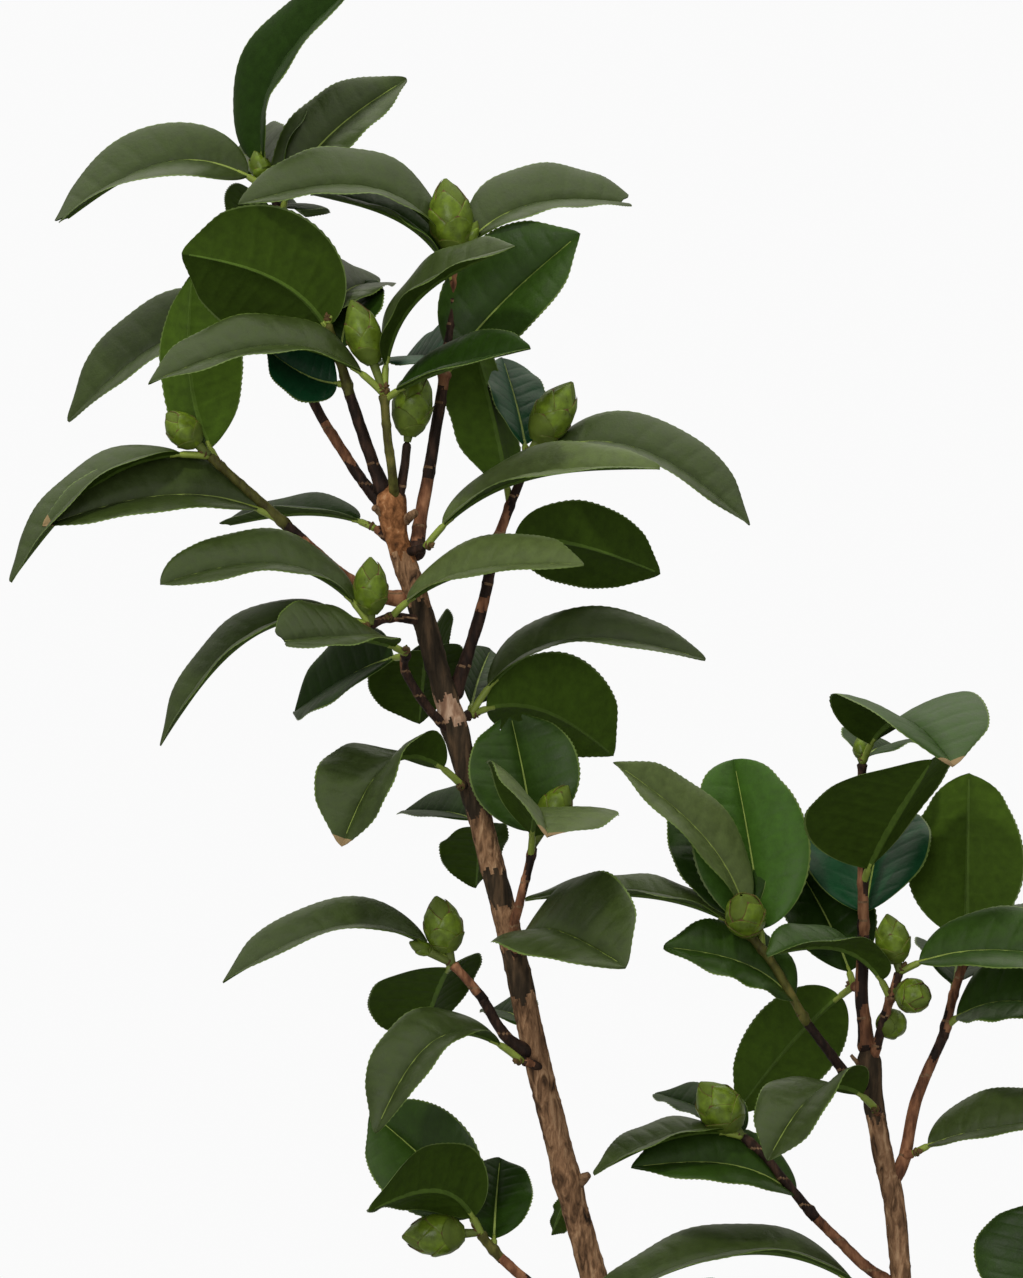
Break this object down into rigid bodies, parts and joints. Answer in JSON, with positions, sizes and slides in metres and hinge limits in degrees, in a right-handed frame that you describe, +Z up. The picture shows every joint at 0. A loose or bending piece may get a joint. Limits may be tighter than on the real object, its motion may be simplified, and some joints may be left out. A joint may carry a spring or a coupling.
{
  "type": "young camellia shrub",
  "caption": "Young rooted evergreen shrub: slim leaning stems from one flared trunk, with arching glossy leaves and fat closed flower buds.",
  "frame": {"origin": "centre of the flat cut under the trunk, at ground level", "axes": "+Z up, +X to the viewer's right in the picture, +Y away from the viewer; the tall stem leans towards -X"},
  "size_m": [0.4547, 0.2257, 0.7975],
  "materials": {
    "bark": "rough",
    "young_bark": "satin",
    "foliage": "satin"
  },
  "bodies": {
    "root": {"trunk": "bark", "left_stem": "bark", "right_stem": "bark", "bough_top_left": "young_bark", "bough_top_middle": "young_bark", "bough_top_right": "young_bark", "bough_mid_left": "young_bark", "bough_mid_right": "young_bark", "bough_lower_left": "young_bark", "bough_low_left": "young_bark", "bough_right_top": "young_bark", "bough_right_inner": "young_bark", "bough_right_outer": "young_bark", "bough_right_low": "young_bark", "bough_foot_right": "young_bark", "bough_foot_left": "young_bark", "bough_foot_back": "young_bark", "bough_foot_front": "young_bark", "bough_foot_rear": "young_bark", "spray_top_left": "foliage", "leaf_top_left": "foliage", "spray_top_right": "foliage", "spray_top_middle": "foliage", "spray_crown": "foliage", "bud_crown": "foliage", "spray_mid_right": "foliage", "leaf_crown_right": "foliage", "spray_mid_left": "foliage", "leaf_crown_left": "foliage", "spray_left": "foliage", "spray_under_left": "foliage", "spray_behind_mid": "foliage", "spray_right": "foliage", "leaf_front": "foliage", "spray_front": "foliage", "spray_behind_low": "foliage", "leaf_low_front": "foliage", "spray_lower_left": "foliage", "leaf_stem_left": "foliage", "leaf_stem_back": "foliage", "spray_low_left": "foliage", "leaf_stem_rear": "foliage", "leaf_low_right": "foliage", "spray_right_inner": "foliage", "spray_right_buds": "foliage", "leaf_right_front": "foliage", "spray_right_back": "foliage", "spray_right_low": "foliage", "leaf_right_outer": "foliage", "spray_right_outer": "foliage", "spray_right_top": "foliage", "spray_foot_right": "foliage", "spray_foot_left": "foliage", "spray_foot_back": "foliage", "spray_foot_front": "foliage", "spray_foot_rear": "foliage"}
  },
  "joints": []
}
